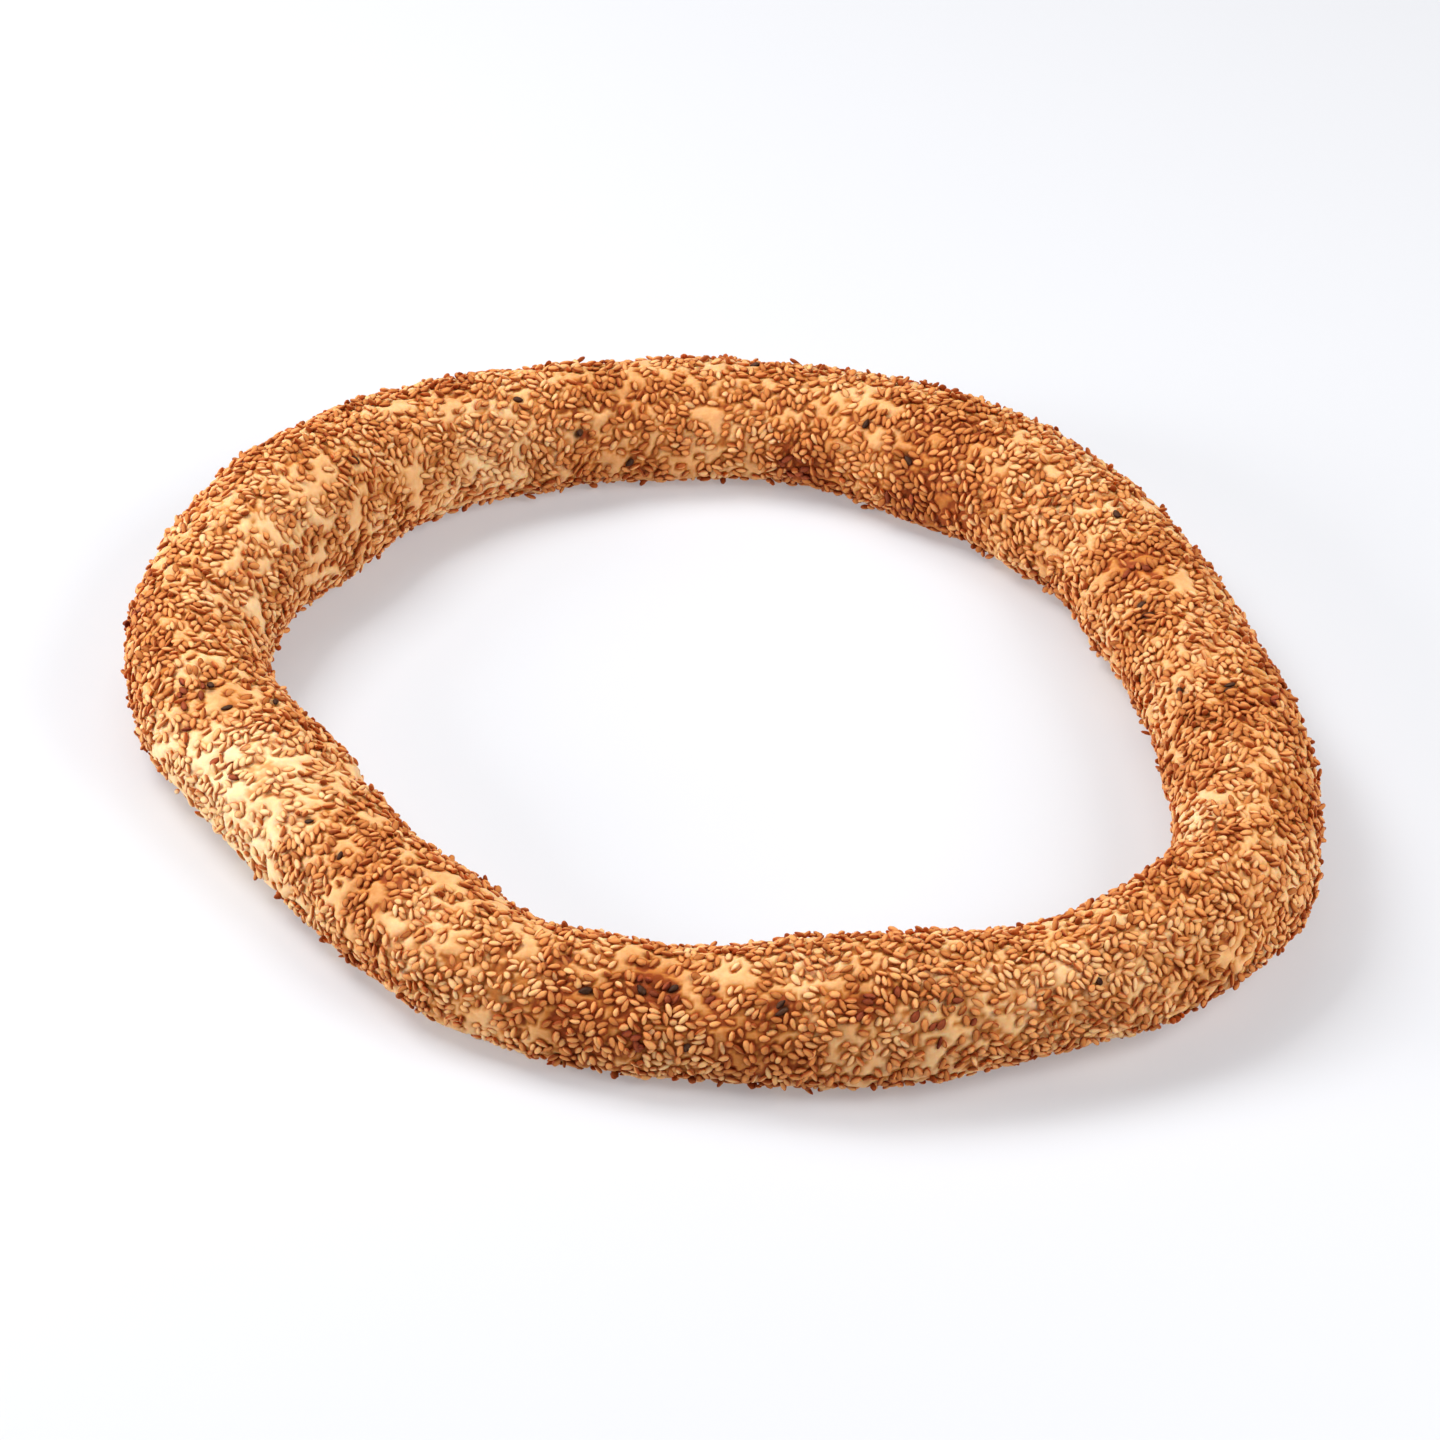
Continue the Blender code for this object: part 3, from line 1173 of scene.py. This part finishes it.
def sesame_material(name, light, deep, point_and_underside_shade):
    """Toasted sesame: its tone differs from seed to seed, darker at the point, with fine skin grain; its underside,
    where it meets the crust, is darkened as painted shade.
    """
    material = bpy.data.materials.new(name + "_skin")
    material.use_nodes = True
    material.node_tree.nodes.clear()
    net = Net(material.node_tree)
    place = net.node("ShaderNodeTexCoord").outputs["Object"]
    shade = Value(net, net.node("ShaderNodeAttribute", {"attribute_name": "shade"}).outputs["Fac"])
    length = Value(net, net.node("ShaderNodeAttribute", {"attribute_name": "length"}).outputs["Fac"])
    grain = net.noise(place, 0.45 * MM, 2.0, 0.6)
    clouds = net.noise(place, 1.4 * MM, 1.0, 0.5)
    share = shade * 0.8 + (clouds - 0.5) * 0.7 + (grain - 0.5) * 0.25 + 0.1
    colour = net.mix(share, rgba(light), rgba(deep))
    skirt = Value(net, net.node("ShaderNodeAttribute", {"attribute_name": "skirt"}).outputs["Fac"])
    point = (1 - net.step(length, 0.02, 0.40)) * 0.45
    # Painted shade: the seed darkens towards its underside, where it meets the crust.
    painted_underside_shade = net.step(skirt, 0.0, 0.9) * 0.84
    colour = net.mix(point + painted_underside_shade, colour, rgba(point_and_underside_shade))
    bump = {"Strength": 0.35, "Distance": 0.05 * MM, "Height": grain}
    shaped = net.node("ShaderNodeBump", None, bump).outputs[0]
    gloss = 0.5 + (clouds - 0.5) * 0.2 + shade * 0.06
    surface = net.node(
        "ShaderNodeBsdfPrincipled",
        None,
        {
            "Base Color": colour,
            "Roughness": gloss,
            "Specular IOR Level": 0.13,
            "Subsurface Weight": 0.3,
            "Subsurface Radius": (1.0, 0.35, 0.10),
            "Subsurface Scale": 0.7 * MM,
            "Normal": shaped,
        },
    )
    net.node("ShaderNodeOutputMaterial", None, {0: surface.outputs[0]})
    return material


class SesameSettings(bpy.types.PropertyGroup):
    """Sizes and colours of the sesame."""

    length: bpy.props.FloatProperty(
        name="Seed length", description="Length of a usual seed", default=2.74 * MM, unit="LENGTH"
    )
    width: bpy.props.FloatProperty(
        name="Seed width", description="Width of a usual seed", default=1.54 * MM, unit="LENGTH"
    )
    thickness: bpy.props.FloatProperty(
        name="Seed thickness", description="Thickness of a usual seed", default=1.14 * MM, unit="LENGTH"
    )
    density: bpy.props.FloatProperty(
        name="Seeds per square centimetre",
        description="How thickly the seeds lie on covered crust",
        default=22.2,
        min=1.0,
        max=24.0,
    )
    standing: bpy.props.FloatProperty(
        name="Standing share",
        description="Share of the seeds that stick up on one end",
        default=0.085,
        min=0.0,
        max=0.3,
        subtype="FACTOR",
    )
    fallen: bpy.props.FloatProperty(
        name="Fallen share",
        description="Share of the seeds that fell out and left an empty bed",
        default=0.03,
        min=0.0,
        max=0.5,
        subtype="FACTOR",
    )
    cream: bpy.props.FloatVectorProperty(
        name="Cream seeds", description="Colour of the untoasted seeds", default=(0.95, 0.66, 0.34), subtype="COLOR"
    )
    pale: bpy.props.FloatVectorProperty(
        name="Pale seeds", description="Colour of the least toasted seeds", default=(0.91, 0.51, 0.205), subtype="COLOR"
    )
    gold: bpy.props.FloatVectorProperty(
        name="Golden seeds", description="Colour of lightly toasted seeds", default=(0.85, 0.42, 0.15), subtype="COLOR"
    )
    amber: bpy.props.FloatVectorProperty(
        name="Amber seeds", description="Colour of toasted seeds", default=(0.78, 0.325, 0.098), subtype="COLOR"
    )
    brown: bpy.props.FloatVectorProperty(
        name="Brown seeds", description="Colour of well toasted seeds", default=(0.65, 0.215, 0.048), subtype="COLOR"
    )
    scorched: bpy.props.FloatVectorProperty(
        name="Scorched seeds", description="Colour of burnt seeds", default=(0.062, 0.024, 0.011), subtype="COLOR"
    )
    singed: bpy.props.FloatVectorProperty(
        name="Singed seeds", description="Colour of seeds nearly burnt", default=(0.28, 0.058, 0.018), subtype="COLOR"
    )


def toast_colours(look):
    """For each kind of seed: the lighter and deeper colour of its seeds, and the colour of their points, which the
    material also uses for painted shade on their undersides.
    """
    steps = [look.cream, look.pale, look.gold, look.amber, look.brown, look.singed, look.scorched]
    colours = []
    for n, middle in enumerate(steps):
        middle = np.array(middle)
        lighter = np.array(steps[n - 1]) if n else middle * 1.12
        deeper = np.array(steps[n + 1]) if n < 4 else middle * 0.55
        light = middle * 0.45 + lighter * 0.55 if n < 5 else middle * 1.6
        deep = middle * 0.5 + deeper * 0.5
        colours.append((light, deep, deep * np.array((0.50, 0.17, 0.03))))
    return colours


class BREAD_OT_sesame(bpy.types.Operator):
    """Coat the crust in sesame: lay every seed, press its hollow in the crust, and make the seeds"""

    bl_idname = "bread.sesame"
    bl_label = "Coat it in sesame"

    def execute(self, context):
        look = context.scene.bread_sesame
        crust = context.scene.bread_crust
        skin = bpy.data.meshes.get("crust_skin")
        if skin is None:
            raise RuntimeError("bake the crust before the sesame")
        seeds = laid_seeds(skin, look)
        cores = core_object("seed_cores", seeds, ~seeds["fallen"], look)
        empty = core_object("empty_cores", seeds, seeds["fallen"], look)
        sizes = {
            "Hollow depth": crust.hollow_depth,
            "Empty depth": crust.empty_depth,
            "Hollow reach": crust.hollow_reach,
            "Puff height": crust.puff,
            "Lowest height": crust.lowest,
            "Seed cores": cores,
            "Empty cores": empty,
            "Material": skin.materials[0],
        }
        made = grown(skin, socket_tree(), sizes, "crust")
        bpy.data.meshes.remove(cores.data)
        bpy.data.meshes.remove(empty.data)
        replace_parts(finished_piece("crust", made), CAD_NODE)
        self.make_seeds(seeds, look)
        return {"FINISHED"}

    def make_seeds(self, seeds, look):
        shapes = bpy.data.collections.new("seed_shapes")
        for name, wide, thick, bend in SHAPE_KINDS:
            shapes.objects.link(bpy.data.objects.new("seed_" + name, seed_shape(name, wide, thick, bend)))
        tree = sesame_tree()
        names = [name for name, _ in TOASTS] + [SINGED_NAME, BURNT_NAME]
        for n, (name, colours) in enumerate(zip(names, toast_colours(look))):
            chosen = np.nonzero((seeds["toast"] == n) & ~seeds["fallen"])[0]
            cells = math.ceil(math.sqrt(len(chosen)))
            sizes = {
                "Length": look.length,
                "Width": look.width,
                "Thickness": look.thickness,
                "Map cells": float(cells),
                "Seed shapes": shapes,
                "Material": sesame_material(name, *colours),
            }
            coat = grown(point_mesh(seeds, chosen, cells), tree, sizes, name)
            finished_piece(name, coat)
            print(name, len(chosen), "seeds")
        for shape in list(shapes.objects):
            bpy.data.meshes.remove(shape.data)
        bpy.data.collections.remove(shapes)


# ---------------------------------------------------------------- studio


class StageSettings(bpy.types.PropertyGroup):
    """Camera, floor and light."""

    lens: bpy.props.FloatProperty(
        name="Lens", description="Focal length in millimetres", default=159.25, min=10.0
    )
    distance: bpy.props.FloatProperty(
        name="Camera distance", description="From the camera to its aim", default=1.4, unit="LENGTH"
    )
    elevation: bpy.props.FloatProperty(
        name="Camera elevation",
        description="Angle of the camera above the table",
        default=math.radians(36),
        subtype="ANGLE",
    )
    floor: bpy.props.FloatVectorProperty(
        name="Floor", description="Colour of the table", default=(0.535, 0.54, 0.56), subtype="COLOR"
    )
    floor_glow: bpy.props.FloatProperty(
        name="Floor glow", description="Light that the table gives of itself", default=0.25, min=0.0
    )
    room: bpy.props.FloatProperty(
        name="Room", description="Strength of the light from all round", default=0.06, min=0.0
    )
    key: bpy.props.FloatProperty(
        name="Key light", description="Power of the big soft lamp behind on the left", default=9.3, unit="POWER"
    )
    counter: bpy.props.FloatProperty(
        name="Counter light", description="Power of the soft lamp at the front right", default=7.9, unit="POWER"
    )
    front: bpy.props.FloatProperty(
        name="Front light", description="Power of the soft lamp in front", default=1.2, unit="POWER"
    )
    back: bpy.props.FloatProperty(
        name="Back light", description="Power of the soft lamp behind", default=2.0, unit="POWER"
    )
    low: bpy.props.FloatProperty(
        name="Low light", description="Power of the low lamp on the left", default=7.0, unit="POWER"
    )


# Name, clock, height and side of each soft lamp, in degrees and metres.
LAMPS = (
    ("key", 150, 56, 0.55),
    ("counter", 335, 38, 0.60),
    ("front", 285, 45, 0.60),
    ("back", 88, 62, 0.50),
    ("low", 188, 20, 0.35),
)
LAMP_DISTANCE = 1.1


def floor_material(look):
    material = bpy.data.materials.new("white_table")
    material.use_nodes = True
    material.node_tree.nodes.clear()
    net = Net(material.node_tree)
    place = net.node("ShaderNodeTexCoord").outputs["Object"]
    away = Value(net, net.node("ShaderNodeVectorMath", {"operation": "LENGTH"}, {0: place}).outputs["Value"])
    near_glow = rgba([look.floor_glow * part for part in (0.975, 0.985, 1.025)])
    glow = net.mix(net.step(away, 0.6, 1.8), near_glow, (0.80, 0.80, 0.81, 1.0))
    surface = net.node(
        "ShaderNodeBsdfPrincipled",
        None,
        {
            "Base Color": rgba(look.floor),
            "Roughness": 0.7,
            "Specular IOR Level": 0.1,
            "Emission Color": glow,
            "Emission Strength": 1.0,
        },
    )
    net.node("ShaderNodeOutputMaterial", None, {0: surface.outputs[0]})
    return material


def add_lamp(name, aim, clock, height, side, power):
    """A soft square lamp: clock and height are its direction from the aim, in degrees."""
    lamp = bpy.data.lights.new(name, "AREA")
    lamp.shape = "SQUARE"
    lamp.size = side
    lamp.energy = power
    holder = bpy.data.objects.new(name, lamp)
    bpy.context.scene.collection.objects.link(holder)
    turn = math.radians(clock)
    rise = math.radians(height)
    out = Vector((math.cos(turn) * math.cos(rise), math.sin(turn) * math.cos(rise), math.sin(rise)))
    holder.location = aim + out * LAMP_DISTANCE
    holder.rotation_euler = (-out).to_track_quat("-Z", "Y").to_euler()


class BREAD_OT_stage(bpy.types.Operator):
    """Set the table, the lamps and the camera"""

    bl_idname = "bread.stage"
    bl_label = "Set the stage"

    def execute(self, context):
        scene = context.scene
        look = scene.bread_stage
        low, high = CAD_BOX
        middle = Vector(((low.x + high.x) / 2, (low.y + high.y) / 2, 0))
        aim = middle + Vector((0.0019, 0.00776, 0))
        camera = bpy.data.cameras.new("camera")
        camera.sensor_width = 36
        camera.lens = look.lens
        camera.clip_start = 0.05
        holder = bpy.data.objects.new("camera", camera)
        scene.collection.objects.link(holder)
        back = Vector((0, -math.cos(look.elevation), math.sin(look.elevation)))
        holder.location = aim + back * look.distance
        holder.rotation_euler = (math.pi / 2 - look.elevation, 0, 0)
        scene.camera = holder
        mesh = bpy.data.meshes.new("table")
        side = 4.0
        mesh.from_pydata([(-side, -side, 0), (side, -side, 0), (side, side, 0), (-side, side, 0)], [], [(0, 1, 2, 3)])
        mesh.materials.append(floor_material(look))
        table = bpy.data.objects.new("table", mesh)
        scene.collection.objects.link(table)
        world = bpy.data.worlds.new("soft_room")
        world.use_nodes = True
        world.node_tree.nodes.clear()
        net = Net(world.node_tree)
        seen = Value(net, net.node("ShaderNodeLightPath").outputs["Is Camera Ray"])
        strength = look.room + seen * (0.8 - look.room)
        sky = net.node("ShaderNodeBackground", None, {"Color": (0.97, 0.98, 1.0, 1.0), "Strength": strength})
        net.node("ShaderNodeOutputWorld", None, {0: sky.outputs[0]})
        scene.world = world
        for name, clock, height, side in LAMPS:
            add_lamp(name, middle, clock, height, side, getattr(look, name))
        scene.view_settings.view_transform = "Standard"
        return {"FINISHED"}


class BREAD_PT_panel(bpy.types.Panel):
    """Lists the bread's operators and settings"""

    bl_label = "Sesame bread ring"
    bl_idname = "BREAD_PT_panel"
    bl_space_type = "VIEW_3D"
    bl_region_type = "UI"
    bl_category = "Bread"

    def draw(self, context):
        for operator, settings in (
            ("bread.crust", context.scene.bread_crust),
            ("bread.sesame", context.scene.bread_sesame),
            ("bread.stage", context.scene.bread_stage),
        ):
            box = self.layout.box()
            box.operator(operator)
            for name in settings.__annotations__:
                box.prop(settings, name)


CLASSES = (
    CrustSettings,
    SesameSettings,
    StageSettings,
    BREAD_OT_crust,
    BREAD_OT_sesame,
    BREAD_OT_stage,
    BREAD_PT_panel,
)


def register():
    for made in CLASSES:
        bpy.utils.register_class(made)
    bpy.types.Scene.bread_crust = bpy.props.PointerProperty(type=CrustSettings)
    bpy.types.Scene.bread_sesame = bpy.props.PointerProperty(type=SesameSettings)
    bpy.types.Scene.bread_stage = bpy.props.PointerProperty(type=StageSettings)


def unregister():
    del bpy.types.Scene.bread_crust
    del bpy.types.Scene.bread_sesame
    del bpy.types.Scene.bread_stage
    for made in reversed(CLASSES):
        bpy.utils.unregister_class(made)


def main():
    register()
    bpy.ops.bread.crust()
    bpy.ops.bread.sesame()
    bpy.ops.bread.stage()


if __name__ == "__main__":
    main()
